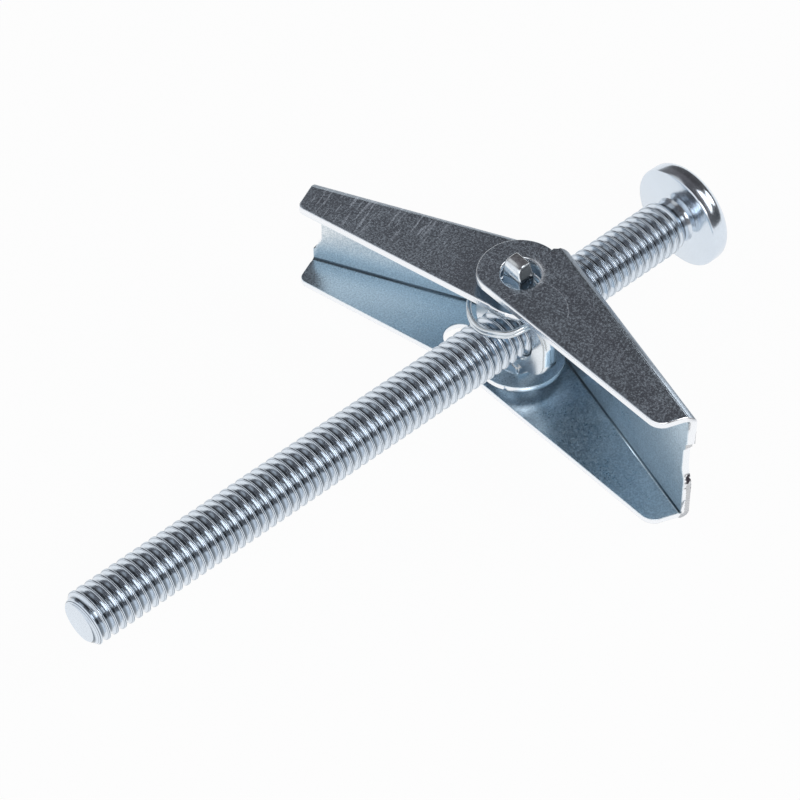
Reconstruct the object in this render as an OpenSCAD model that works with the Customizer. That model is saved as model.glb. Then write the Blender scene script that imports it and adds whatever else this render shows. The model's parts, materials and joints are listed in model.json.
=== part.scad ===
// Spring toggle bolt: a pan-head machine screw with a trunnion nut that carries two
// sprung channel wings. The origin is the centre of the head's bearing face, +X points
// out through the head, the wings turn about vertical axes through the nut's stubs.

/* [Screw] */
// Outside diameter of the thread
thread_d = 6; // [5:0.1:8]
// Length from the bearing face to the tip
screw_len = 80; // [60:1:120]
// Plain neck between the thread and the head
neck_len = 1.2; // [0.8:0.1:3]
// Depth of one thread flank below the crest
thread_depth = 0.55; // [0.4:0.05:0.8]
// Length of the bevel at the tip
tip_bevel = 0.8; // [0.4:0.1:1.5]
// Diameter of the flat face at the tip
tip_face_d = 4.4; // [3:0.1:4.8]

/* [Head] */
// Largest diameter of the head
head_d = 11.65; // [10:0.05:15]
// Diameter of the head's bearing face
bearing_d = 11.2; // [9:0.05:14]
// Height of the head
head_h = 3.1; // [2.6:0.1:5]
// Height of the head's straight side
head_side = 1.4; // [0.8:0.1:2]
// Diameter of the flat on top of the head
head_flat_d = 4.6; // [3:0.1:6]
// Length of the fillet between the neck and the bearing face
head_fillet = 0.6; // [0.3:0.05:0.7]
// Diameter where that fillet meets the bearing face
head_root_d = 6.2; // [6:0.1:6.8]
// Span of the cross recess
recess_span = 5.8; // [4.5:0.1:6.5]
// Width of each recess wing
recess_w = 1.3; // [0.9:0.1:1.6]
// Depth of the recess
recess_depth = 1.9; // [1.2:0.1:2.2]

/* [Nut] */
// Distance of the wings' pivot axis from the bearing face
pivot_x = 22.4; // [12:0.1:40]
// Thickness of the nut plate
nut_t = 2; // [1.6:0.1:3]
// How far the plate's middle lies from the pivot axis, toward the tip
nut_shift = 0.35; // [0:0.05:0.6]
// Wall beside the thread, left and right
nut_side = 2.3; // [1.8:0.1:4]
// Wall over and under the thread
nut_cap = 1.1; // [0.8:0.1:2]
// Radius of the plate's corners
nut_corner_r = 3; // [1:0.1:3.8]
// Width of the stubs
stub_w = 2.8; // [2:0.1:3.4]
// How far each stub stands proud of the outer wing
stub_proud = 1.85; // [0.8:0.05:3]
// Bevel at the end of each stub, on its sides toward the tip and the outer wing
stub_bevel = 0.6; // [0.2:0.05:0.8]
// Bevel on the stub's other two sides
stub_edge = 0.2; // [0.1:0.05:0.6]
// Fillet where a stub meets the plate
stub_fillet = 0.5; // [0.2:0.1:0.8]
// Bevel along the plate's rim
nut_rim = 0.2; // [0.1:0.05:0.3]
// Depth of the countersink round the thread
sink_depth = 0.4; // [0.2:0.1:0.8]

/* [Wings] */
// Thickness of the sheet
sheet = 0.85; // [0.7:0.05:1]
// Outside radius of the folds
fold_r = 1.1; // [1.05:0.05:2]
// Length of the inner wing from its pivot, at the open corner
inner_len = 25.3; // [20:0.1:40]
// Length of the outer wing from its pivot, at the open corner
outer_len = 23.9; // [20:0.1:40]
// How much shorter the inner wing is along its web
inner_end_rake = 0.6; // [0:0.1:1.5]
// How much longer the outer wing is along its web
outer_end_rake = 0.6; // [0:0.1:1.5]
// Radius of the inner wing's open corners
inner_corner_r = 0.9; // [0.4:0.1:2]
// Radius of the outer wing's open corners
outer_corner_r = 1.8; // [0.4:0.1:2.2]
// Angle of the open inner wing, back from square to the screw
inner_lean = 29; // [15:0.5:35]
// Angle of the open outer wing, back from square to the screw
outer_lean = 12.2; // [5:0.1:25]
// Depth of the open edge below the pivot axis
edge_drop = 4.08; // [3.6:0.02:4.4]
// Rise of the open edge for each millimetre along the wing
edge_slope = 0.252; // [0.2:0.002:0.28]
// Radius of the outer wing's ears
outer_ear_r = 4.6; // [4.2:0.1:5.2]
// Radius where an outer ear runs into the open edge
ear_round = 2.5; // [0.5:0.1:3]
// Sideways offset of the inner wing's lower ear curve
inner_ear_shift = 0.95; // [0.5:0.05:1.1]
// How much nearer the pivot the outer wing's web stands
web_step = 0.35; // [0.2:0.05:0.5]
// How far a web's tabs reach past the pivot axis
tab_reach = 0.4; // [0.1:0.1:0.8]
// Diameter of the hole in the inner wing's lower cheek
cheek_hole_d = 3.5; // [2:0.1:4]
// Distance of that hole from the pivot
cheek_hole_u = 6.64; // [6:0.02:9]
// Depth of the recess sheared into the end of a web
end_recess = 0.75; // [0.3:0.05:1.2]

/* [Spring] */
// Diameter of the spring wire
wire_d = 0.48; // [0.4:0.02:0.6]
// Middle diameter of the coil
coil_d = 7.7; // [6.8:0.1:8.4]
// Distance of the coil's middle from the pivot axis, toward the tip
coil_shift = 1.65; // [1:0.05:2]
// Slope of the coil in degrees, lower toward the tip
coil_tilt = 3; // [1:0.5:4]
// Reach of the spring's legs along the wings
leg_reach = 13; // [9:0.5:17]

/* [Clearances] */
// Radial gap between the thread and the nut
bore_gap = 0.05; // [0.02:0.01:0.1]
// Gap between a stub's corners and its holes
pivot_gap = 0.155; // [0.05:0.005:0.3]
// Gap between the nut and the inner wing's web
web_gap = 0.25; // [0.1:0.05:0.4]
// Gap between the screw and a notch that stops on it
stop_gap = 0.13; // [0.05:0.01:0.3]
// Gap above and below the screw in a notch
notch_gap = 0.3; // [0.2:0.05:0.6]
// Gap between the inner ears and the outer web
ear_gap = 0.25; // [0.1:0.05:0.3]
// Gap between the cheeks of the two wings
nest_gap = 1.2; // [0.4:0.05:1.6]
// Gap at each face of the coil
coil_gap = 0.04; // [0.02:0.01:0.1]
// Gap between the spring's legs and the webs
leg_gap = 0.1; // [0.05:0.05:0.2]

/* [Hidden] */
$fn = 96;
screw_r = thread_d / 2;
nut_hw = screw_r + nut_side;
nut_hh = screw_r + nut_cap;
nut_front = nut_t / 2 + nut_shift;
nut_back = nut_t / 2 - nut_shift;
coil_r = coil_d / 2;
coil_rise = coil_r * sin(coil_tilt);
turn_gap = 0.02;
coil_z = nut_hh + coil_gap + wire_d / 2;
coil_top = coil_z + wire_d + turn_gap + coil_rise + wire_d / 2;
inner_in = coil_top + coil_gap;
inner_hh = inner_in + sheet;
outer_in = inner_hh + nest_gap;
outer_hh = outer_in + sheet;
stub_end = outer_hh + stub_proud;
inner_web = nut_hw + web_gap;
outer_web = inner_web - web_step;
inner_ear_r = outer_web - ear_gap;
hole_r = norm([nut_front, stub_w / 2]) + pivot_gap;
notch_hh = screw_r + notch_gap;
inner_stop = (screw_r + stop_gap - inner_web * sin(inner_lean)) / cos(inner_lean);
outer_stop = (screw_r + stop_gap - outer_web * sin(outer_lean)) / cos(outer_lean);
far = 60;

// Points of an arc, from angle a0 to a1, about c
function arc(c, r, a0, a1, n) = [for (i = [0:n]) c + r * [cos(a0 + (a1 - a0) * i / n),
  sin(a0 + (a1 - a0) * i / n)]];
// Height of the open edge at a distance u along the wing
function edge_at(u) = edge_slope * u - edge_drop;
// Centre of a corner of radius r between the open edge and an end line at u = e
function corner_at(e, r) = [e - r, edge_at(e - r) + r * sqrt(1 + edge_slope * edge_slope)];

module cross_recess() {
  for (a = [0, 90]) rotate([a, 0, 0])
    translate([head_h - recess_depth, -recess_span / 2, -recess_w / 2])
      cube([recess_depth + 1, recess_span, recess_w]);
  translate([head_h - recess_depth - 0.3, 0, 0]) rotate([0, 90, 0])
    cylinder(h = recess_depth + 1, r1 = recess_w * 0.75, r2 = recess_w * 1.25);
}

// Turned outline of the screw: radius first, then distance along the screw
module screw_outline() {
  dome = head_h - head_side;
  fall = (head_d - head_flat_d) / 2;
  polygon(concat([[0, -screw_len], [tip_face_d / 2, -screw_len],
    [screw_r, tip_bevel - screw_len], [screw_r, -neck_len - thread_depth],
    [screw_r - thread_depth, -neck_len], [screw_r - thread_depth, -head_fillet],
    [screw_r - 0.7 * thread_depth, -0.3 * head_fillet], [head_root_d / 2, 0], [bearing_d / 2, 0],
    [(bearing_d + 2 * head_d) / 6, 0.12], [head_d / 2, 0.4]],
    [for (a = [0:10:90]) [head_flat_d / 2 + fall * cos(a), head_side + dome * sin(a)]],
    [[0, head_h]]));
}

module screw() {
  color("lightsteelblue") difference() {
    rotate([0, 90, 0]) rotate_extrude() screw_outline();
    cross_recess();
  }
}

// Face of the nut plate with its two stubs, grown or shrunk by g at the plate
module nut_face(g) {
  r = nut_corner_r - g;
  y = nut_hw - nut_corner_r;
  z = nut_hh - nut_corner_r;
  square([2 * (nut_hw - g), 2 * z], center = true);
  square([2 * y, 2 * (nut_hh - g)], center = true);
  for (a = [-1, 1], b = [-1, 1]) translate([a * y, b * z]) circle(r);
}

module stub_face() {
  square([stub_w, 2 * stub_end], center = true);
  for (a = [-1, 1], b = [-1, 1]) stub_root(a, b);
}

// Fillet between the plate's flat and a stub's side
module stub_root(a, b) {
  s = stub_w / 2;
  translate([a > 0 ? s : -s - stub_fillet, b > 0 ? nut_hh : -nut_hh - stub_fillet])
    difference() {
      square(stub_fillet);
      translate([a > 0 ? stub_fillet : 0, b > 0 ? stub_fillet : 0]) circle(stub_fillet);
    }
}

// Piece cut off the end of a stub along one of its edges, b deep
module stub_cut(b) {
  rotate([45, 0, 0]) cube([far, b * sqrt(2), b * sqrt(2)], center = true);
}

// Pieces cut off the end of a stub to bevel its four sides
module stub_bevels() {
  for (e = [-1, 1]) {
    translate([0, -stub_w / 2, e * stub_end]) stub_cut(stub_bevel);
    translate([0, stub_w / 2, e * stub_end]) stub_cut(stub_edge);
    translate([-nut_front, 0, e * stub_end]) rotate([0, 0, 90]) stub_cut(stub_bevel);
    translate([nut_back, 0, e * stub_end]) rotate([0, 0, 90]) stub_cut(stub_edge);
  }
}

module trunnion_nut() {
  color("silver") translate([-pivot_x, 0, 0]) difference() {
    union() {
      translate([nut_rim - nut_front, 0, 0]) rotate([90, 0, 90])
        linear_extrude(nut_t - 2 * nut_rim) nut_face(0);
      translate([-nut_front, 0, 0]) rotate([90, 0, 90]) linear_extrude(nut_t) nut_face(nut_rim);
      intersection() {
        translate([-nut_front, 0, 0]) rotate([90, 0, 90]) linear_extrude(nut_t) stub_face();
        union() {
          cylinder(h = 2 * far, r = hole_r - 0.2, center = true);
          cube([far, far, 2 * (nut_hh + stub_fillet)], center = true);
        }
      }
    }
    rotate([0, 90, 0]) cylinder(h = far, r = screw_r + bore_gap, center = true);
    translate([-nut_front, 0, 0]) rotate([0, 90, 0])
      cylinder(h = sink_depth, r1 = screw_r + bore_gap + sink_depth, r2 = screw_r + bore_gap);
    stub_bevels();
  }
}

// Section of a folded channel, open toward -x, web at x = w, inside half height h
module channel_section(w, h) {
  r = fold_r - sheet;
  difference() {
    union() {
      translate([-far, -h - sheet]) square([far + w + sheet - fold_r, 2 * (h + sheet)]);
      translate([-far, fold_r - h - sheet]) square([far + w + sheet, 2 * (h + sheet - fold_r)]);
      for (s = [-1, 1]) translate([w + sheet - fold_r, s * (h + sheet - fold_r)]) circle(fold_r);
    }
    translate([-far - 1, -h]) square([far + 1 + w - r, 2 * h]);
    translate([-far - 1, r - h]) square([far + 1 + w, 2 * (h - r)]);
    for (s = [-1, 1]) translate([w - r, s * (h - r)]) circle(r);
  }
}

// Side outline of a wing past its ear: open edge, rounded corner, end raked by k, web, tab
module cheek_outline(w, len, k, corner) {
  c = corner_at(len, corner);
  t = atan(edge_slope);
  top = w + sheet;
  polygon(concat([[0.1, edge_at(0.1)]], arc(c, corner, t - 90, 0, 8),
    [[len + 0.35 * k, c[1] + 0.55 * (top - c[1])], [len + k, top], [-tab_reach, top],
    [-tab_reach - 0.5, top - 0.7], [-1.4, w - 0.6], [0, 0]]));
}

// Region that an outer ear keeps: above the open edge, the corner between them rounded
module ear_region() {
  t = atan(edge_slope);
  y = edge_drop * cos(t) - ear_round;
  s = sqrt(pow(outer_ear_r - ear_round, 2) - y * y);
  e = 188 + atan2(y, s);
  rim = arc([edge_drop * sin(t) - s, ear_round], ear_round, 270, e, 6);
  last = rim[len(rim) - 1];
  translate([0, -edge_drop]) rotate(t)
    polygon(concat([[far, 0]], rim, [last + far * [sin(e), -cos(e)]], [[-far, far], [far, far]]));
}

// Bite that the screw needs in a web: back to u, rounded at its inner corners
module web_notch(u) {
  r = 0.8;
  rotate([90, 0, 0]) linear_extrude(2 * far, center = true) {
    translate([u - far, -notch_hh]) square([far - r, 2 * notch_hh]);
    translate([u - far, r - notch_hh]) square([far, 2 * (notch_hh - r)]);
    for (s = [-1, 1]) translate([u - r, s * (notch_hh - r)]) circle(r);
  }
}

// Recess d deep sheared into a web's end between heights z0 and z1, with curved sides
// that take s0 below and s1 above to run out
module end_bite(u, d, z0, z1, s0, s1) {
  fade = [for (t = [0:0.2:1]) [u - d * (0.5 + 0.5 * cos(180 * t)), t]];
  rotate([90, 0, 0]) linear_extrude(2 * far, center = true)
    polygon(concat([for (p = fade) [p[0], z1 + s1 * p[1]]], [[u + 3, z1 + s1], [u + 3, z0 - s0]],
      [for (i = [5:-1:0]) [fade[i][0], z0 - s0 * fade[i][1]]]));
}

module inner_wing_flat() {
  difference() {
    intersection() {
      translate([-10, 0, 0]) rotate([90, 0, 90])
        linear_extrude(inner_len + 20) channel_section(inner_web, inner_in);
      linear_extrude(4 * inner_hh, center = true) union() {
        cheek_outline(inner_web, inner_len, -inner_end_rake, inner_corner_r);
        intersection() {
          circle(inner_ear_r);
          translate([0.12, inner_ear_shift]) circle(inner_ear_r);
        }
      }
    }
    cylinder(h = far, r = hole_r, center = true);
    translate([cheek_hole_u, 0.67, -far / 2]) cylinder(h = far / 2, d = cheek_hole_d);
    web_notch(inner_stop);
    end_bite(inner_len - inner_end_rake, end_recess, -1.8, 1.8, 1.9, 1.9);
  }
}

module outer_wing_flat() {
  difference() {
    intersection() {
      translate([-10, 0, 0]) rotate([90, 0, 90])
        linear_extrude(outer_len + 20) channel_section(outer_web, outer_in);
      linear_extrude(4 * outer_hh, center = true) union() {
        cheek_outline(outer_web, outer_len, outer_end_rake, outer_corner_r);
        intersection() {
          circle(outer_ear_r);
          ear_region();
        }
      }
    }
    cylinder(h = far, r = hole_r, center = true);
    web_notch(outer_stop);
    end_bite(outer_len + outer_end_rake, end_recess, -0.4, 2.2, 2.6, 1.5);
    end_bite(outer_len + outer_end_rake, 0.6 * end_recess, 0, 3.7, 0.1, 0.1);
  }
}

module inner_wing() {
  color("slategray") translate([-pivot_x, 0, 0]) mirror([0, 1, 0])
    rotate([0, 0, 270 - inner_lean]) inner_wing_flat();
}

module outer_wing() {
  color("dimgray") translate([-pivot_x, 0, 0])
    rotate([0, 0, 270 - outer_lean]) outer_wing_flat();
}

// Where a leg's end lies: reach along the wing, just inside its web, side s
function leg_end(web, lean, s) = let (v = web - leg_gap - wire_d / 2)
  [v * cos(lean) - leg_reach * sin(lean), s * (leg_reach * cos(lean) + v * sin(lean))];
// Angle on the coil where a leg to p leaves it along a tangent
function leave_at(p, s) = let (d = p + [coil_shift, 0])
  atan2(d[1], d[0]) - s * acos(coil_r / norm(d));

// Straight leg from the coil to the point p, at height z
module leg(p, s, z) {
  a = leave_at(p, s);
  q = [coil_r * cos(a) - coil_shift, coil_r * sin(a)];
  d = p - q;
  translate([q[0], q[1], z]) rotate([0, 0, atan2(d[1], d[0])]) rotate([0, 90, 0])
    cylinder(h = norm(d), d = wire_d, $fn = 24);
}

module spring() {
  step = wire_d + turn_gap;
  color("gainsboro") translate([-pivot_x, 0, 0]) {
    for (i = [0, 1]) translate([-coil_shift, 0, coil_z + i * step]) rotate([0, -coil_tilt, 0])
      rotate_extrude() translate([coil_r, 0]) circle(d = wire_d, $fn = 24);
    leg(leg_end(inner_web, inner_lean, 1), 1, coil_z + step);
    leg(leg_end(outer_web, outer_lean, -1), -1, coil_z + coil_rise / 2);
  }
}

screw();
trunnion_nut();
inner_wing();
outer_wing();
spring();
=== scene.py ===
import json
import math
import bpy
import bmesh
from mathutils import Matrix, Vector


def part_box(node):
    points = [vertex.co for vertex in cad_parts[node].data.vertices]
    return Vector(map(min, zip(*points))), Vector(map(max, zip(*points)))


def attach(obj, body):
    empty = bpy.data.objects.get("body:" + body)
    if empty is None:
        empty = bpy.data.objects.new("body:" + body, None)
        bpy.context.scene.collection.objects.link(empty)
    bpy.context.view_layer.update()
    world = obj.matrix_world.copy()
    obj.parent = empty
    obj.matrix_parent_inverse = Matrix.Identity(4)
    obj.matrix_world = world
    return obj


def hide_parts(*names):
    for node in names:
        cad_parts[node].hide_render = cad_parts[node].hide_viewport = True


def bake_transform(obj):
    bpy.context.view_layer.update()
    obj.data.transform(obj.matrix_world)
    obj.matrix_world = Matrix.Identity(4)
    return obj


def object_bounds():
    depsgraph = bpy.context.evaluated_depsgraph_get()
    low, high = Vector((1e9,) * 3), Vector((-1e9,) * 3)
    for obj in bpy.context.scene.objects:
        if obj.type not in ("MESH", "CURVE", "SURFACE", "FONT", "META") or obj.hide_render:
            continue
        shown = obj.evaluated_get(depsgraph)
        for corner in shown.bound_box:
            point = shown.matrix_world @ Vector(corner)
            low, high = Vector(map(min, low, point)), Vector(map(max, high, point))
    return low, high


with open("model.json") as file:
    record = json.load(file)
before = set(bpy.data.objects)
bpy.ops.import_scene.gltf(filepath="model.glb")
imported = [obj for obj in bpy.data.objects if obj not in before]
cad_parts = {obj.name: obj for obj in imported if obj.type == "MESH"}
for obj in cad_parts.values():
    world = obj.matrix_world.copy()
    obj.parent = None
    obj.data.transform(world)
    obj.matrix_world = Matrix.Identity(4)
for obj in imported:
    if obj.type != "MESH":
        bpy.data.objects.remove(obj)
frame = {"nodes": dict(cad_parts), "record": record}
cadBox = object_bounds()
print("frame loaded:", sorted(frame["nodes"]))

mm = 0.001
scene = bpy.context.scene
joints = {j["name"]: j for j in frame["record"]["behaviour"]["joints"]}
pivot = Vector(joints["inner_wing_hinge"]["pos_m"])
screwLow, screwHigh = (Vector(p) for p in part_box("screw"))


class Sum:  # a socket that can be added, multiplied and compared
    def __init__(self, finish, out):
        self.finish, self.out = finish, out

    def __add__(self, other): return self.finish.math("ADD", self, other)
    def __radd__(self, other): return self.finish.math("ADD", other, self)
    def __sub__(self, other): return self.finish.math("SUBTRACT", self, other)
    def __rsub__(self, other): return self.finish.math("SUBTRACT", other, self)
    def __mul__(self, other): return self.finish.math("MULTIPLY", self, other)
    def __rmul__(self, other): return self.finish.math("MULTIPLY", other, self)
    def __truediv__(self, other): return self.finish.math("DIVIDE", self, other)
    def __rtruediv__(self, other): return self.finish.math("DIVIDE", other, self)
    def __pow__(self, other): return self.finish.math("POWER", self, other)
    def __rpow__(self, other): return self.finish.math("POWER", other, self)
    def __neg__(self): return self.finish.math("MULTIPLY", self, -1.0)
    def __abs__(self): return self.finish.math("ABSOLUTE", self)
    def __lt__(self, other): return self.finish.math("LESS_THAN", self, other)
    def __gt__(self, other): return self.finish.math("GREATER_THAN", self, other)


class Finish:  # one node tree, for a material or for the world
    def __init__(self, owner):
        owner.use_nodes = True
        self.owner, self.tree = owner, owner.node_tree
        self.tree.nodes.clear()

    def add(self, kind, settings=None, values=None, out=0):
        node = self.tree.nodes.new(kind)
        for key, value in (settings or {}).items():
            if key == "stops":
                ramp = node.color_ramp
                for place, colour in value[1:-1]:
                    ramp.elements.new(place)
                for element, (place, colour) in zip(ramp.elements, value):
                    element.position = place
                    element.color = (*colour, 1)
            else:
                setattr(node, key, value)
        for key, value in (values or {}).items():
            if isinstance(value, Sum):
                self.tree.links.new(value.out, node.inputs[key])
            else:
                node.inputs[key].default_value = value
        return Sum(self, node.outputs[out]) if node.outputs else node

    def math(self, operation, *parts):
        return self.add("ShaderNodeMath", {"operation": operation}, dict(enumerate(parts)))

    def step(self, value, low, high, first=0.0, last=1.0):  # smooth rise from first to last
        return self.add("ShaderNodeMapRange", {"interpolation_type": "SMOOTHSTEP"},
                        {0: value, 1: low, 2: high, 3: first, 4: last})

    def blend(self, factor, a, b):  # colours
        return self.add("ShaderNodeMix", {"data_type": "RGBA"}, {0: factor, 6: a, 7: b}, out=2)

    def noise(self, at, size, detail, rough=0.5):
        return self.add("ShaderNodeTexNoise", {}, {
            "Vector": at, "Scale": size, "Detail": detail, "Roughness": rough})

    def vectors(self, operation, a, b):  # a number out of a dot product or a distance
        out = 1 if operation in ("DOT_PRODUCT", "DISTANCE") else 0
        return self.add("ShaderNodeVectorMath", {"operation": operation}, {0: a, 1: b}, out)

    def dot(self, a, b):
        return self.vectors("DOT_PRODUCT", a, b)

    def rays(self, *kinds):  # 1 for a ray of any of these kinds
        outputs = self.add("ShaderNodeLightPath").out.node.outputs
        found = Sum(self, outputs[kinds[0]])
        for kind in kinds[1:]:
            found = self.math("MAXIMUM", found, Sum(self, outputs[kind]))
        return found


class Coat:  # what a finish is made of before the shader
    def __init__(self, made, at):
        self.made, self.at = made, at
        self.base = self.rough = self.metal = self.height = self.specks = None

    def paint(self, mask, colour):
        self.base = self.made.blend(mask, self.base, colour)


zinc = {
    "grainSize": 4800.0, "grainDetail": 3.0, "grainRough": 0.6,      # fine mottling, turns per metre
    "cloudSize": 260.0, "cloudDetail": 4.0, "cloudRough": 0.55,      # slow change in the plating
    "mottleGrain": 0.7, "mottleFrom": 0.38, "mottleTo": 0.62,      # share of grain against cloud
    "darkBy": 0.14, "lightBy": 1.05,
    "roughByGrain": 0.14, "roughByCloud": 0.08,
    "speckSize": 5600.0, "speckFrom": 0.36, "speckTo": 0.64,      # fine darker specks
    "speck": 0.22, "speckInside": 0.38, "speckTint": 0.55,
    "bloom": 0.25, "bloomGrain": 0.85, "bloomFrom": 0.43, "bloomTo": 0.64,      # the dullest spots
    "bump": 0.14, "bumpDepth": 0.03 * mm,
    # painted highlight on the sheet's cut edges
    "cutEdgeHighlight": (0.93, 0.95, 0.98, 1),
}


def zincFinish(name, values, extra=None):
    made = Finish(bpy.data.materials.new(name))
    at = made.add("ShaderNodeTexCoord", out=3)  # Object coordinates
    colour, grain = values["colour"], values["grain"]
    fine = made.noise(at, zinc["grainSize"], zinc["grainDetail"], zinc["grainRough"])
    cloud = made.noise(at, zinc["cloudSize"], zinc["cloudDetail"], zinc["cloudRough"])

    def mixed(share):  # grain and cloud together
        return fine * share + cloud * (1 - share)

    coat = Coat(made, at)
    dark = tuple(c * (1 - zinc["darkBy"] * grain) for c in colour) + (1,)
    light = tuple(min(1.0, c * zinc["lightBy"]) for c in colour) + (1,)
    speckled = tuple(c * zinc["speckTint"] for c in colour) + (1,)
    mottle = made.step(mixed(zinc["mottleGrain"]), zinc["mottleFrom"], zinc["mottleTo"])
    coat.base = made.blend(mottle, dark, light)
    coat.rough = values["rough"] + (fine - 0.5) * zinc["roughByGrain"] * grain
    coat.rough = coat.rough + (cloud - 0.5) * zinc["roughByCloud"]
    coat.height = fine * grain
    specks = made.noise(at, zinc["speckSize"], 1.0)
    coat.specks = made.step(specks, zinc["speckFrom"], zinc["speckTo"])
    coat.paint(coat.specks * (zinc["speck"] * grain), speckled)
    # the cut edges are painted paler, as a painted highlight
    edge = made.add("ShaderNodeAttribute", {"attribute_name": "cutEdge"}, out=2)
    coat.paint(edge, zinc["cutEdgeHighlight"])
    dull = made.step(mixed(zinc["bloomGrain"]), zinc["bloomFrom"], zinc["bloomTo"]) * (1 - edge)
    coat.metal = 1 - dull * (zinc["bloom"] * grain)
    if extra:
        extra(coat)
    bump = made.add("ShaderNodeBump", {}, {
        "Strength": zinc["bump"], "Distance": zinc["bumpDepth"], "Height": coat.height})
    shader = made.add("ShaderNodeBsdfPrincipled", {}, {
        "Base Color": coat.base, "Metallic": coat.metal, "Roughness": coat.rough, "Normal": bump})
    made.add("ShaderNodeOutputMaterial", {}, {"Surface": shader})
    return made.owner


hair = 0.0001 * mm      # two places this close are the same


def objectFrom(name, bm):
    mesh = bpy.data.meshes.new(name)
    bm.to_mesh(mesh)
    bm.free()
    made = bpy.data.objects.new(name, mesh)
    scene.collection.objects.link(made)
    return made


def smoothBelow(mesh, angle):
    for polygon in mesh.polygons:
        polygon.use_smooth = True
    mesh.set_sharp_from_angle(angle=math.radians(angle))


def newPiece(name, bm, finish, smoothAngle):
    piece = objectFrom(name, bm)
    smoothBelow(piece.data, smoothAngle)
    piece.data.materials.append(finish)
    return piece


def cutAt(bm, place, normal, close=hair, **clear):
    bmesh.ops.bisect_plane(bm, geom=bm.verts[:] + bm.edges[:] + bm.faces[:], dist=close,
                           plane_co=place, plane_no=normal, **clear)


def closeHoles(bm):
    bmesh.ops.contextual_create(bm, geom=[e for e in bm.edges if e.is_boundary])


def spinRow(bm, points, steps, **more):  # turned about the screw's axis
    row = [bm.verts.new(point) for point in points]
    edges = [bm.edges.new(pair) for pair in zip(row, row[1:])]
    bmesh.ops.spin(bm, geom=row + edges, axis=(1, 0, 0), cent=(0, 0, 0),
                   angle=math.tau, steps=steps, **more)


def roundEdges(bm, edges, width, segments=3):
    bmesh.ops.bevel(bm, geom=edges, offset=width, offset_type="OFFSET", affect="EDGES",
                    segments=segments, profile=0.5, material=-1, clamp_overlap=False)
    bm.normal_update()


def finishedMesh(thing):  # its mesh with the modifiers or the wire's thickness worked in
    done = thing.evaluated_get(bpy.context.evaluated_depsgraph_get())
    return bpy.data.meshes.new_from_object(done)


# camera, floor and light

look = {
    "azimuth": -40.93, "elevation": 51.17,
    "distance": 0.395, "lens": 174.8, "sensor": 36.0,
    "near": 0.01, "far": 20.0,
    "aim": (-0.0382, 0.00055, 0.0),
}

studio = {
    "floorDrop": 0.0005,      # below the lowest stub
    "floorSpan": 3.0, "floorGlow": 0.96, "paper": (0.85, 0.86, 0.88, 1),
    # colour of the room from the horizon to straight overhead
    "rise": [(0.0, (0.60, 0.61, 0.63)), (0.08, (0.32, 0.32, 0.33)), (0.22, (0.20, 0.195, 0.20)),
             (0.45, (0.165, 0.155, 0.16)), (0.75, (0.13, 0.12, 0.127)), (1.0, (0.105, 0.10, 0.105))],
    # darker still toward the head's end
    "deepFrom": 0.37, "deepTo": 0.52, "deepShare": 0.55, "deepColour": (0.02, 0.02, 0.02, 1),
    # paler toward the tip, up to a height
    "foreFrom": 0.30, "foreTo": 0.75, "foreFade": 0.75, "foreTop": 0.90,
    "foreColour": (0.86, 0.88, 0.91, 1),
    # soft patches: which way, from, to, how bright
    "patches": [((-0.178, 0.601, 0.779), 0.92, 0.985, 0.60),
                ((-0.70, -0.13, 0.70), 0.93, 0.985, 1.10)],
    # a low dark screen on the near side
    "screenAt": (0.45, -0.86, 0.24), "screenFrom": 0.86, "screenTo": 0.96,
    "screenShare": 0.72, "screenColour": (0.03, 0.035, 0.04, 1),
    # one long window
    "windowAcross": (0.0, -0.566, 0.824), "windowFrom": 0.83, "windowTo": 0.86,
    "windowAlong": 0.40, "windowHalf": 0.10, "windowSoft": 0.02, "windowStrength": 2.9,
    # name, place, size, power
    "lamps": [("keyLamp", (-0.25, -0.45, 0.45), 0.35, 1.0),
              ("sideLamp", (0.45, -0.25, 0.35), 0.3, 0.6)],
    "lampAim": (-0.035, 0, 0),
}


def turnedObject(name, data, at, toward):
    thing = bpy.data.objects.new(name, data)
    thing.location = at
    thing.rotation_mode = "QUATERNION"
    thing.rotation_quaternion = toward.to_track_quat("-Z", "Y")
    scene.collection.objects.link(thing)
    return thing


def makeCamera():
    turn, lift = math.radians(look["azimuth"]), math.radians(look["elevation"])
    back = Vector((math.sin(turn) * math.cos(lift), -math.cos(turn) * math.cos(lift), math.sin(lift)))
    data = bpy.data.cameras.new("camera")
    data.lens, data.sensor_width = look["lens"], look["sensor"]
    data.clip_start, data.clip_end = look["near"], look["far"]
    scene.camera = turnedObject("camera", data, Vector(look["aim"]) + back * look["distance"], -back)


def makeLamps():
    for name, at, size, power in studio["lamps"]:
        data = bpy.data.lights.new(name, "AREA")
        data.shape, data.size, data.energy = "DISK", size, power
        turnedObject(name, data, at, Vector(studio["lampAim"]) - Vector(at))


def makeFloor():
    bm = bmesh.new()
    bmesh.ops.create_grid(bm, x_segments=1, y_segments=1, size=studio["floorSpan"] / 2)
    bmesh.ops.translate(bm, verts=bm.verts, vec=(0, 0, cadBox[0].z - studio["floorDrop"]))
    floor = objectFrom("floor", bm)
    made = Finish(bpy.data.materials.new("floorPaper"))
    seen = made.rays("Is Camera Ray", "Is Glossy Ray", "Is Transmission Ray")
    paper = made.add("ShaderNodeBsdfDiffuse", {}, {"Color": studio["paper"]})
    glow = made.add("ShaderNodeEmission", {}, {"Color": (1, 1, 1, 1), "Strength": 1.0})
    surface = made.add("ShaderNodeMixShader", {}, {0: seen * studio["floorGlow"], 1: paper, 2: glow})
    made.add("ShaderNodeOutputMaterial", {}, {"Surface": surface})
    floor.data.materials.append(made.owner)


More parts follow.
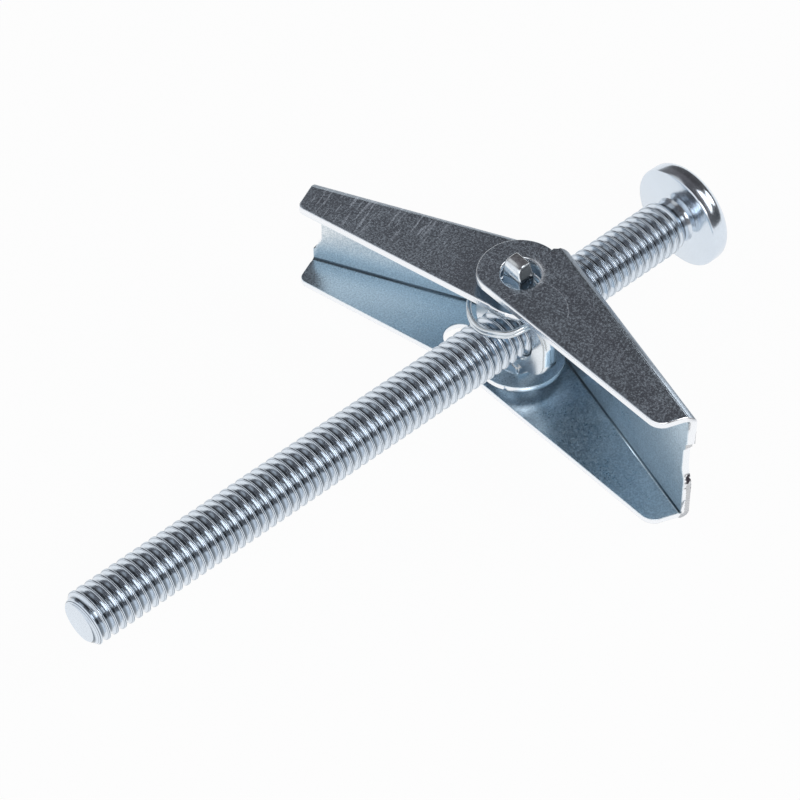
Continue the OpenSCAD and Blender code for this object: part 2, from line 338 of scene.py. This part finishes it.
def makeWorld():
    world = bpy.data.worlds.new("studio")
    scene.world = world
    made = Finish(world)
    toward = made.add("ShaderNodeTexCoord")  # the direction looked in

    def facing(direction):
        return made.dot(toward, Vector(direction).normalized())

    def grey(light):
        return (light, light, light, 1)

    up, ahead = facing((0, 0, 1)), facing((1, 0, 0))
    room = made.add("ShaderNodeValToRGB", {"stops": studio["rise"]}, {0: up})
    deep = made.step(ahead, studio["deepFrom"], studio["deepTo"])
    room = made.blend(deep * studio["deepShare"], room, studio["deepColour"])
    fore = made.step(facing((-1, 0, 0)), studio["foreFrom"], studio["foreTo"])
    fore = fore * (1 - made.step(up, studio["foreFade"], studio["foreTop"]))
    room = made.blend(fore, room, studio["foreColour"])
    for way, low, high, light in studio["patches"]:
        room = made.blend(made.step(facing(way), low, high), room, grey(light))
    screened = made.step(facing(studio["screenAt"]), studio["screenFrom"], studio["screenTo"])
    room = made.blend(screened * studio["screenShare"], room, studio["screenColour"])
    half, soft = studio["windowHalf"], studio["windowSoft"]
    outside = made.step(abs(ahead - studio["windowAlong"]), half - soft, half + soft)
    lit = made.step(facing(studio["windowAcross"]), studio["windowFrom"], studio["windowTo"])
    room = made.blend(lit * (1 - outside), room, grey(studio["windowStrength"]))
    shown = made.blend(made.rays("Is Camera Ray"), room, grey(1))
    back = made.add("ShaderNodeBackground", {}, {0: shown, 1: 1.0})
    made.add("ShaderNodeOutputWorld", {}, {0: back})


makeCamera()
makeFloor()
makeWorld()
makeLamps()
scene.view_settings.view_transform = "Standard"
print("camera, floor and light made")


# screw: rolled thread, neck, pan head with a cross recess

screw = {
    "pitch": 1.0 * mm, "crest": 2.97 * mm, "root": 2.45 * mm,
    # one thread, along the screw and out from its root, as shares of pitch and depth
    "thread": [(0.00, 0.0), (0.09, 0.02), (0.14, 0.10), (0.37, 0.90), (0.40, 0.98),
               (0.44, 1.0), (0.47, 0.97), (0.50, 0.84), (0.53, 0.97), (0.56, 1.0),
               (0.60, 0.98), (0.63, 0.90), (0.86, 0.10), (0.91, 0.02)],
    "firstCrest": 1.27 * mm,      # from the tip
    "spare": 2.5,      # turns made past the tip and cut off
    "turns": 82, "steps": 56, "threadWeld": 0.004 * mm,
    "tipFace": 2.2 * mm, "tipSlope": 1.05,
    "runoutStart": 1.9 * mm, "runoutEnd": 0.95 * mm,      # below the head
    "neckEnd": 0.6 * mm, "collar": 0.05 * mm, "collarWeld": 0.002 * mm,
    "filletAt": -0.18 * mm, "filletMid": 2.615 * mm, "filletRoot": 3.1 * mm,
    "bearing": 5.6 * mm, "head": 5.82 * mm, "side": 1.4 * mm, "flat": 2.3 * mm,
    "rimAt": 0.07 * mm, "rimOut": 0.13 * mm, "rimEnd": 0.24 * mm,
    "domeTurns": range(10, 91, 8), "headSteps": 96,
    "recessSpan": 2.9 * mm, "recessWidth": 0.65 * mm, "recessDepth": 1.9 * mm,
    "recessFoot": (0.52, 0.72),      # its bottom against its top, span and width
    "smoothAngle": 40,
    "colour": (0.72, 0.79, 0.87), "rough": 0.16, "grain": 0.3,
    # painted shade in the roots, in the crest's seam and on the crest's shoulders: shares of a pitch from
    # the crest's middle, then how dark
    "rootFrom": 0.28, "rootTo": 0.44, "rootDark": 0.80,
    "seamFrom": 0.015, "seamTo": 0.04, "seamDark": 0.85,
    "lipAt": 0.15, "lipFrom": 0.01, "lipTo": 0.035, "lipDark": 0.45,
    # no painted shade this close to the tip; the colour of the painted shade in the thread
    "tipUnshaded": 0.03 * mm, "paintedShade": (0.07, 0.095, 0.12, 1),
}
threadStart = screwLow.x + screw["firstCrest"] - screw["spare"] * screw["pitch"]


def threadTube(bm):
    depth = screw["crest"] - screw["root"]
    points = [(threadStart + (turn + along) * screw["pitch"], 0, screw["root"] + out * depth)
              for turn in range(screw["turns"]) for along, out in screw["thread"]]
    step = screw["pitch"] / screw["steps"]
    spinRow(bm, points, screw["steps"], dvec=(step, 0, 0), use_merge=False)
    bmesh.ops.remove_doubles(bm, verts=bm.verts, dist=screw["threadWeld"])
    cutAt(bm, (screwLow.x, 0, 0), (1, 0, 0), clear_inner=True)
    cutAt(bm, (-screw["neckEnd"], 0, 0), (1, 0, 0), clear_outer=True)
    for v in bm.verts:
        out = math.hypot(v.co.y, v.co.z)
        limit = screw["tipFace"] + screw["tipSlope"] * (v.co.x - screwLow.x)  # bevel at the tip
        fade = (-v.co.x - screw["runoutEnd"]) / (screw["runoutStart"] - screw["runoutEnd"])
        kept = screw["root"] + (out - screw["root"]) * max(0.0, min(1.0, fade))
        scale = min(kept, limit) / out
        v.co.y *= scale
        v.co.z *= scale


def endRing(bm, place):
    near = 10 * hair
    return [e for e in bm.edges if e.is_boundary and all(abs(v.co.x - place) < near for v in e.verts)]


def headProfile():  # along and out, from the neck to the middle of the top
    points = [(-screw["neckEnd"] + screw["collar"], screw["root"]),
              (screw["filletAt"], screw["filletMid"]),
              (0, screw["filletRoot"]), (0, screw["bearing"]),
              (screw["rimAt"], screw["bearing"] + screw["rimOut"]),
              (screw["rimEnd"], screw["head"]), (screw["side"], screw["head"])]
    dome, fall = screwHigh.x - screw["side"], screw["head"] - screw["flat"]
    for turn in screw["domeTurns"]:
        a = math.radians(turn)
        points.append((screw["side"] + dome * math.sin(a), screw["flat"] + fall * math.cos(a)))
    return points + [(screwHigh.x, 0.0)]


def makeScrew(finish):
    bm = bmesh.new()
    threadTube(bm)
    bmesh.ops.contextual_create(bm, geom=endRing(bm, screwLow.x))
    neck = endRing(bm, -screw["neckEnd"])
    spinRow(bm, [(x, 0, r) for x, r in headProfile()], screw["headSteps"], use_merge=True)
    ofHead = [v for v in bm.verts if v.co.x > -screw["neckEnd"] + screw["collar"] / 2]
    bmesh.ops.remove_doubles(bm, verts=ofHead, dist=screw["collarWeld"])
    collar = endRing(bm, -screw["neckEnd"] + screw["collar"])
    bmesh.ops.bridge_loops(bm, edges=neck + collar)
    bmesh.ops.recalc_face_normals(bm, faces=bm.faces)
    print("screw:", len(bm.faces), "faces, open edges", sum(e.is_boundary for e in bm.edges))
    piece = newPiece("machineScrew", bm, finish, screw["smoothAngle"])
    cutRecess(piece)
    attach(piece, "screw")
    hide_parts("screw")


def cutRecess(piece):
    bm = bmesh.new()
    for turned in (0, 90):
        made = bmesh.ops.create_cube(bm, size=1.0)["verts"]
        size = (2 * screw["recessDepth"], 2 * screw["recessSpan"], 2 * screw["recessWidth"])
        bmesh.ops.scale(bm, verts=made, vec=size)
        for v in made:  # narrower toward the bottom
            if v.co.x < 0:
                v.co.y *= screw["recessFoot"][0]
                v.co.z *= screw["recessFoot"][1]
        turn = Matrix.Rotation(math.radians(turned), 3, "X")
        bmesh.ops.rotate(bm, verts=made, cent=(0, 0, 0), matrix=turn)
        bmesh.ops.translate(bm, verts=made, vec=(screwHigh.x, 0, 0))
    cutter = objectFrom("recessCutter", bm)
    cut = piece.modifiers.new("recess", "BOOLEAN")
    cut.operation, cut.solver, cut.use_self, cut.object = "DIFFERENCE", "EXACT", True, cutter
    shaped = finishedMesh(piece)
    piece.modifiers.clear()
    piece.data = shaped
    smoothBelow(shaped, screw["smoothAngle"])
    bpy.data.objects.remove(cutter)


def threadPaintedShade(coat):  # painted shade: dark lines in the roots, in the seam that rolling leaves on a crest, and on each crest's shoulders
    made = coat.made
    x, y, z = (made.dot(coat.at, axis) for axis in ((1, 0, 0), (0, 1, 0), (0, 0, 1)))
    turned = made.math("ARCTAN2", -y, z)
    along = made.math("FRACT", (x - threadStart) / screw["pitch"] - turned / math.tau)
    fromCrest = abs(along - 0.5)
    fromLip = abs(fromCrest - screw["lipAt"])
    root = made.step(fromCrest, screw["rootFrom"], screw["rootTo"]) * screw["rootDark"]
    seam = (1 - made.step(fromCrest, screw["seamFrom"], screw["seamTo"])) * screw["seamDark"]
    lips = (1 - made.step(fromLip, screw["lipFrom"], screw["lipTo"])) * screw["lipDark"]
    threaded = (x < -screw["runoutEnd"]) * (x > screwLow.x + screw["tipUnshaded"])
    coat.paint((root + (seam + lips)) * threaded, screw["paintedShade"])


# wings: the sheet's cut edges slightly rounded, and the marks that have a place on them

wing = {
    "sheet": 0.85 * mm, "foldRound": 1.1 * mm,      # thickness, and the outside of a fold
    "inner": {"lean": 29.0, "side": 1, "web": 5.55 * mm, "cheek": 5.36 * mm},
    "outer": {"lean": 12.2, "side": -1, "web": 5.20 * mm, "cheek": 7.41 * mm},
    "colour": (0.655, 0.765, 0.87), "rough": 0.22, "grain": 1.0,
    "edgeRound": 0.08 * mm, "rimRound": 0.22 * mm, "cornerAngle": 35.0, "sameHeight": 0.008 * mm,
    "weld": 0.0005 * mm, "flatAngle": 0.6, "smoothAngle": 75,
    "upright": 0.85, "square": 0.5,      # how a face has to stand to count as a cut edge
    # faces inside the channel; their tint is painted bounce light
    "skin": 0.1 * mm, "insideShare": 0.5, "insideRough": 0.08,
    "insideBounceTint": (0.64, 0.80, 0.90, 1), "insideSpeck": (0.30, 0.40, 0.48, 1),
    # the inner wing's web, palest at its upper end: a painted reflection of the floor
    "paleLow": 1.0 * mm, "paleHigh": 3.4 * mm, "paleNear": 4 * mm, "paleFar": 18 * mm,
    "paleShare": 0.8, "paleReflectionTint": (0.97, 0.99, 1.0, 1),
    # painted shade: the web darkens toward its lower fold, and a dark line lies in each fold
    "shadeTall": 2.4 * mm, "shade": 0.22,
    "foldUp": 0.11 * mm, "foldDark": 0.09 * mm, "foldSoft": 0.25 * mm, "foldShare": 0.7,
    "paintedShade": (0.06, 0.09, 0.12, 1),
    # the outside of a fold is stretched and duller
    "dullFull": 0.5, "dullRough": 0.25, "dullShare": 0.45, "dullTint": (0.25, 0.28, 0.33, 1),
    # light marks on the upper cheek
    "onTop": 0.7,      # share of the sheet's thickness
    "markShare": 0.6, "markMetal": 0.20, "markHeight": 0.6, "markTint": (0.80, 0.89, 1.0, 1),
    # the inner wing's: strokes
    "strokeTurn": 17.5, "strokeFine": 3000.0, "strokeLong": 240.0,
    "strokeFrom": 0.575, "strokeTo": 0.615,
    "strokeNear": 5 * mm, "strokeFar": 13 * mm, "strokeDeep": 3 * mm,
    # the outer wing's: arcs with a middle, a radius, the way they run and where they start
    "arcs": [((-2.69 * mm, -4.25 * mm), 3.94 * mm, (1, 0), -1.2 * mm),
             ((-3.40 * mm, -3.90 * mm), 2.40 * mm, (0.3, 1), -3.6 * mm)],
    "arcFull": 0.02 * mm, "arcThick": 0.07 * mm, "arcFade": 1.2 * mm,
    # pale rim beside the outer hole: a painted highlight on its burr
    "burrFrom": 2.15 * mm, "burrTo": 2.75 * mm, "burrWay": (0.755, -0.655, 0),
    "burrNear": 0.9 * mm, "burrFar": 2.0 * mm,
    "burrShare": 0.7, "burrMetal": 0.35, "burrHighlightTint": (0.85, 0.88, 0.93, 1),
    # torn spot on the outer wing's end
    "tornFrom": 23.6 * mm, "tornLow": -3.7 * mm, "tornHigh": -1.3 * mm, "tornFade": 0.4 * mm,
    "tornSkin": 0.05 * mm, "tornDeep": 0.40 * mm, "tornSize": 1900.0, "tornEdge": (0.42, 0.48),
    "tornTint": (0.045, 0.04, 0.05, 1),
}


def wingAxes(side):
    lean = math.radians(side["lean"])
    along = Vector((-math.sin(lean), side["side"] * math.cos(lean), 0))
    return along, Vector((math.cos(lean), side["side"] * math.sin(lean), 0))


class WingPlace:  # where a point of a wing lies
    def __init__(self, coat, side):
        made, axes = coat.made, wingAxes(side)
        self.at = made.vectors("SUBTRACT", coat.at, pivot)
        self.along, self.across, self.up = (made.dot(self.at, axis) for axis in (*axes, (0, 0, 1)))
        self.pastWeb, self.pastCheek = self.across - side["web"], abs(self.up) - side["cheek"]
        self.onTop = self.up > side["cheek"] + wing["onTop"] * wing["sheet"]


def insideOfWing(coat, spot, side):
    made, cheek, skin = coat.made, side["cheek"], wing["skin"]
    inside = (spot.pastWeb < skin) * (spot.pastCheek < skin)
    onWeb = spot.pastWeb > -skin
    # a painted bounce-light tint inside the channel
    coat.paint(inside * wing["insideShare"], wing["insideBounceTint"])
    if side["side"] > 0:
        # a painted reflection of the floor, palest toward the web's upper, far end
        pale = inside * onWeb * made.step(spot.up, wing["paleLow"] - cheek, wing["paleHigh"] - cheek)
        pale = pale * made.step(spot.along, wing["paleNear"], wing["paleFar"])
        coat.paint(pale * wing["paleShare"], wing["paleReflectionTint"])
    coat.paint(inside * coat.specks * zinc["speckInside"], wing["insideSpeck"])
    coat.rough = coat.rough + inside * wing["insideRough"]
    # painted shade low on the web and in the fold
    low = made.step(spot.up, -cheek, wing["shadeTall"] - cheek, 1.0, 0.0) * onWeb * inside
    aside, raised = spot.pastWeb, spot.pastCheek + wing["foldUp"]
    reach = (aside * aside + raised * raised) ** 0.5
    fold = 1 - made.step(reach, wing["foldDark"], wing["foldSoft"])
    coat.paint(low * wing["shade"] + fold * wing["foldShare"], wing["paintedShade"])


def outsideOfFold(coat, spot):
    thick, radius = wing["sheet"], wing["foldRound"]
    start = thick - radius
    bent = (spot.pastWeb - thick + radius) * (spot.pastCheek - thick + radius) / (radius ** 2)
    bent = coat.made.step(bent, 0.0, wing["dullFull"])
    bent = bent * (spot.pastWeb > start) * (spot.pastCheek > start)
    coat.rough = coat.rough + bent * wing["dullRough"]
    coat.paint(bent * wing["dullShare"], wing["dullTint"])


def strokes(coat, spot):
    made, turn = coat.made, math.radians(wing["strokeTurn"])
    fine = made.dot(spot.at, (-math.sin(turn), math.cos(turn), 0)) * wing["strokeFine"]
    long = made.dot(spot.at, (math.cos(turn), math.sin(turn), 0)) * wing["strokeLong"]
    grid = made.add("ShaderNodeCombineXYZ", {}, {0: fine, 1: long, 2: 0.0})
    lines = made.step(made.noise(grid, 1.0, 1.0), wing["strokeFrom"], wing["strokeTo"])
    lines = lines * made.step(spot.along, wing["strokeNear"], wing["strokeFar"])
    return lines * made.step(spot.across, 0, wing["strokeDeep"]) * spot.onTop


def arcs(coat, spot):
    made, lines = coat.made, []
    flat = made.vectors("MULTIPLY", spot.at, (1, 1, 0))
    for middle, radius, way, start in wing["arcs"]:
        away = made.vectors("DISTANCE", flat, (*middle, 0))
        line = 1 - made.step(abs(away - radius), wing["arcFull"], wing["arcThick"])
        line = line * made.step(made.dot(spot.at, (*way, 0)), start, start + wing["arcFade"])
        lines.append(line * spot.onTop)
    return sum(lines[1:], lines[0])


def holeBurrHighlight(coat, spot):
    made, u, v = coat.made, spot.along, spot.across
    burr = (1 - made.step((u * u + v * v) ** 0.5, wing["burrFrom"], wing["burrTo"])) * spot.onTop
    burr = burr * made.step(made.dot(spot.at, wing["burrWay"]), wing["burrNear"], wing["burrFar"])
    # painted highlight on the hole's burr
    coat.paint(burr * wing["burrShare"], wing["burrHighlightTint"])
    coat.metal = coat.metal - burr * wing["burrMetal"]


def tornSpot(coat, spot):
    made, low, high, fade = coat.made, wing["tornLow"], wing["tornHigh"], wing["tornFade"]
    torn = made.step(made.noise(coat.at, wing["tornSize"], 2.0), *wing["tornEdge"])
    torn = torn * (spot.along > wing["tornFrom"])
    torn = torn * made.step(spot.pastWeb, wing["tornSkin"], wing["tornDeep"])
    torn = torn * made.step(spot.up, low, low + fade) * (1 - made.step(spot.up, high - fade, high))
    coat.paint(torn, wing["tornTint"])


def wingDetail(side):
    def extra(coat):
        spot = WingPlace(coat, side)
        insideOfWing(coat, spot, side)
        outsideOfFold(coat, spot)
        if side["side"] > 0:
            marks = strokes(coat, spot)
        else:
            holeBurrHighlight(coat, spot)
            marks = arcs(coat, spot)
            tornSpot(coat, spot)
        coat.paint(marks * wing["markShare"], wing["markTint"])
        coat.metal = coat.metal - marks * wing["markMetal"]
        coat.height = coat.height + marks * wing["markHeight"]

    return extra


def markCutEdges(bm, side):  # the sheared edges are painted paler than the flat sheet, as a painted highlight
    along, across = wingAxes(side)
    layer = bm.faces.layers.float.new("cutEdge")
    for face in bm.faces:
        n, middle = face.normal, face.calc_center_median()
        standing = abs(n.z) < wing["upright"] and n.dot(across) < wing["square"]
        rim = standing and abs(middle.z) > side["cheek"]
        end = abs(n.dot(along)) > wing["square"]
        face[layer] = 1.0 if rim or end else 0.0


def cornerEdges(bm):
    return [e for e in bm.edges if len(e.link_faces) == 2
            and e.calc_face_angle(0) > math.radians(wing["cornerAngle"])]


def mergedCopy(node):
    bm = bmesh.new()
    bm.from_mesh(frame["nodes"][node].data)
    bmesh.ops.remove_doubles(bm, verts=bm.verts, dist=wing["weld"])
    bmesh.ops.dissolve_limit(bm, angle_limit=math.radians(wing["flatAngle"]),
                             verts=bm.verts, edges=bm.edges, use_dissolve_boundaries=False)
    bm.normal_update()
    return bm


def stampedPiece(bm, node, name, finish, body):
    print(name + ":", len(bm.faces), "faces, open edges", sum(e.is_boundary for e in bm.edges))
    piece = newPiece(name, bm, finish, wing["smoothAngle"])
    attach(piece, body)
    flat = piece.modifiers.new("flatFaces", "WEIGHTED_NORMAL")  # wide faces stay flat, rounded edges turn
    flat.mode, flat.weight, flat.keep_sharp = "FACE_AREA", 100, True
    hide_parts(node)


def makeWing(node, name, side, finish):
    bm = mergedCopy(node)
    outside, inside = side["cheek"] + wing["sheet"], side["cheek"]
    for height, width in ((outside, wing["rimRound"]), (inside, wing["edgeRound"])):
        rim = [e for e in cornerEdges(bm)
               if all(abs(abs(v.co.z) - height) < wing["sameHeight"] for v in e.verts)]
        roundEdges(bm, rim, width)
    markCutEdges(bm, side)
    stampedPiece(bm, node, name, finish, node)


# nut: the plate as it is, each stub's end worked

nut = {
    "stubFrom": 4.85 * mm, "stubTo": 10.11 * mm, "overlap": 0.1 * mm,
    "stubMiddle": -0.35 * mm, "stubThick": 2.0 * mm, "stubWide": 2.8 * mm,
    "shoulder": 0.92 * mm, "shoulderSegments": 6,      # rounded toward the tip
    "shoulderReach": 0.45,      # share of the stub's thickness
    "cutIn": 0.65 * mm, "cutDown": 1.2 * mm,      # steep cut toward the outer wing
    "corner": 0.30 * mm, "cornerAngle": 50,
    "stepAt": 8.85 * mm, "stepSoft": 0.04 * mm, "stepIn": 0.05 * mm,      # slimmer beyond this
    "colour": (0.86, 0.91, 0.95), "rough": 0.19, "grain": 0.4,
    # the colour of the painted shade on the stubs
    "gritSize": 2600.0, "stubShadeTint": (0.06, 0.075, 0.09, 1),
    # the sheared side is rougher and painted darker as shade, and a painted shade line lies at the waist
    "shearSide": 1.27 * mm, "shearFrom": 7.0 * mm, "shearGrit": (0.22, 0.42),
    "shearDark": 0.85, "shearRough": 0.15,
    "waistAt": 8.75 * mm, "waistFull": 0.08 * mm, "waistFade": 0.30 * mm,
    "waistGrit": (0.25, 0.45), "waistDark": 0.5,
}


def addStub(target, end):
    low, high, middle = nut["stubFrom"], nut["stubTo"], nut["stubMiddle"]
    thick, wide, fine = nut["stubThick"], nut["stubWide"], hair / 10
    bm = bmesh.new()
    bmesh.ops.create_cube(bm, size=1.0)
    bmesh.ops.scale(bm, verts=bm.verts, vec=(thick, wide, high - low))
    bmesh.ops.translate(bm, verts=bm.verts, vec=(middle, 0, (low + high) / 2))
    steep = (0, -nut["cutDown"], nut["cutIn"])
    cutAt(bm, (0, nut["cutIn"] - wide / 2, high), steep, fine, clear_outer=True)
    closeHoles(bm)
    bm.normal_update()
    tipSide = middle - nut["shoulderReach"] * thick
    shoulder = [e for e in bm.edges if all(v.co.z > high - hair and v.co.x < tipSide for v in e.verts)]
    roundEdges(bm, shoulder, nut["shoulder"], nut["shoulderSegments"])
    sharp = [e for e in bm.edges if e.calc_face_angle(0) > math.radians(nut["cornerAngle"])
             and max(v.co.z for v in e.verts) > low + 10 * hair]
    roundEdges(bm, sharp, nut["corner"])
    for height in (nut["stepAt"] - nut["stepSoft"], nut["stepAt"] + nut["stepSoft"]):
        cutAt(bm, (0, 0, height), (0, 0, 1), fine)
    for v in bm.verts:
        if v.co.z > nut["stepAt"]:
            v.co.x += (middle - v.co.x) * nut["stepIn"] / (thick / 2)
            v.co.y -= v.co.y * nut["stepIn"] / (wide / 2)
    bmesh.ops.scale(bm, verts=bm.verts, vec=(1, 1, end))
    bmesh.ops.translate(bm, verts=bm.verts, vec=(pivot.x, 0, 0))
    bmesh.ops.recalc_face_normals(bm, faces=bm.faces)
    mesh = bpy.data.meshes.new("stub")
    bm.to_mesh(mesh)
    target.from_mesh(mesh)
    bpy.data.meshes.remove(mesh)
    bm.free()


def makeNut(finish):
    bm = mergedCopy("trunnion_nut")
    for end in (-1, 1):
        cutAt(bm, (0, 0, end * (nut["stubFrom"] + nut["overlap"])), (0, 0, end), clear_outer=True)
        closeHoles(bm)
    for end in (-1, 1):
        addStub(bm, end)
    bmesh.ops.recalc_face_normals(bm, faces=bm.faces)
    stampedPiece(bm, "trunnion_nut", "stampedNut", finish, "nut")


def stubShearAndShade(coat):  # painted shade on the sheared side and at the waist of each stub; the sheared side is also rougher
    made = coat.made
    at = made.vectors("SUBTRACT", coat.at, pivot)
    y, z = made.dot(at, (0, 1, 0)), abs(made.dot(at, (0, 0, 1)))
    grit = made.noise(coat.at, nut["gritSize"], 2.0)
    slope = made.math("MAXIMUM", z - (nut["stubTo"] - nut["cutDown"]), 0.0)
    sheared = y < slope * (nut["cutIn"] / nut["cutDown"]) - nut["shearSide"]
    sheared = sheared * (z > nut["shearFrom"]) * made.step(grit, *nut["shearGrit"])
    waist = 1 - made.step(abs(z - nut["waistAt"]), nut["waistFull"], nut["waistFade"])
    waist = waist * made.step(grit, *nut["waistGrit"])
    coat.paint(sheared * nut["shearDark"] + waist * nut["waistDark"], nut["stubShadeTint"])
    coat.rough = coat.rough + sheared * nut["shearRough"]


# spring: two close turns round the upper stub, a leg to each web

spring = {
    "wire": 0.25 * mm, "radius": 3.85 * mm, "roundness": 4,
    "centre": (-1.65 * mm, 0.3 * mm),      # from the pivot
    # angle round the coil in degrees, height in mm
    "heights": [(0, 4.05), (49, 4.34), (90, 4.10), (135, 3.55), (180, 3.26), (225, 3.80), (270, 4.44),
                (311, 4.46), (360, 4.56), (409, 4.86), (450, 4.66), (495, 4.10), (540, 3.79), (585, 4.33),
                (630, 4.97), (671, 4.99), (720, 5.06), (738, 5.06)],
    "splitAt": 360, "coilStep": 6,
    "innerTip": (-1.9 * mm, 13.72 * mm, 4.88 * mm), "outerTip": (1.85 * mm, -13.6 * mm, 4.48 * mm),
    "innerBend": (3.9 * mm, 5.3 * mm),      # across, from where to where
    "outerBend": (-3.2 * mm, -4.9 * mm),
    "bendSteps": 16, "restSteps": 8, "weld": 0.001 * mm, "smoothAngle": 50,
    "colour": (0.74, 0.79, 0.83), "rough": 0.16, "grain": 0.3,
}


def coilHeight(angle):
    table = spring["heights"]
    for (a0, z0), (a1, z1) in zip(table, table[1:]):
        if angle <= a1:
            t = (angle - a0) / (a1 - a0)
            return (z0 + (z1 - z0) * t * t * (3 - 2 * t)) * mm


def coilPoint(angle):
    a, r = math.radians(angle), spring["radius"]
    x, y = spring["centre"]
    return pivot + Vector((x + r * math.cos(a), y + r * math.sin(a), coilHeight(angle)))


def coilPoints(first, last):
    return [coilPoint(angle) for angle in range(first, last + 1, spring["coilStep"])]


def wirePiece(name, points, finish):
    data = bpy.data.curves.new(name + "Line", "CURVE")
    data.dimensions, data.bevel_depth, data.bevel_resolution = "3D", spring["wire"], spring["roundness"]
    data.use_fill_caps = True
    line = data.splines.new("POLY")
    line.points.add(len(points) - 1)
    for point, at in zip(line.points, points):
        point.co = (*at, 1)
    holder = bpy.data.objects.new(name + "Line", data)
    scene.collection.objects.link(holder)
    bpy.context.view_layer.update()
    bm = bmesh.new()
    bm.from_mesh(finishedMesh(holder))
    bpy.data.objects.remove(holder)
    bmesh.ops.remove_doubles(bm, verts=bm.verts, dist=spring["weld"])
    bmesh.ops.recalc_face_normals(bm, faces=bm.faces)
    piece = newPiece(name, bm, finish, spring["smoothAngle"])
    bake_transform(piece)
    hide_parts("spring")


def legPoints(root, tip, bend):  # close together where the leg bends
    low, high = ((pivot.y + at - root.y) / (tip.y - root.y) for at in bend)
    bending, straight = spring["bendSteps"], spring["restSteps"]
    shares = [low / 2] + [low + (high - low) * k / bending for k in range(bending + 1)]
    shares += [high + (1 - high) * k / straight for k in range(1, straight + 1)]
    return [root.lerp(tip, share) for share in shares]


def makeSpring(finish):
    split, last = spring["splitAt"], spring["heights"][-1][0]
    outerTip, innerTip = (pivot + Vector(spring[key]) for key in ("outerTip", "innerTip"))
    outerBend, innerBend = spring["outerBend"], spring["innerBend"]
    outerLeg = legPoints(coilPoint(0), outerTip, outerBend)
    innerLeg = legPoints(coilPoint(last), innerTip, innerBend)
    wirePiece("springOuter", outerLeg[::-1] + coilPoints(0, split), finish)
    wirePiece("springInner", coilPoints(split, last) + innerLeg, finish)
    print("spring: two wires of", spring["wire"] * 2 / mm, "mm")


innerFinish = zincFinish("zincInnerSheet", wing, wingDetail(wing["inner"]))
outerFinish = zincFinish("zincOuterSheet", wing, wingDetail(wing["outer"]))
screwFinish = zincFinish("zincScrew", screw, threadPaintedShade)
nutFinish = zincFinish("zincNut", nut, stubShearAndShade)
wireFinish = zincFinish("zincWire", spring)
print("finishes made")

makeScrew(screwFinish)
makeWing("inner_wing", "innerWingSheet", wing["inner"], innerFinish)
makeWing("outer_wing", "outerWingSheet", wing["outer"], outerFinish)
makeNut(nutFinish)
makeSpring(wireFinish)
print("pieces made")
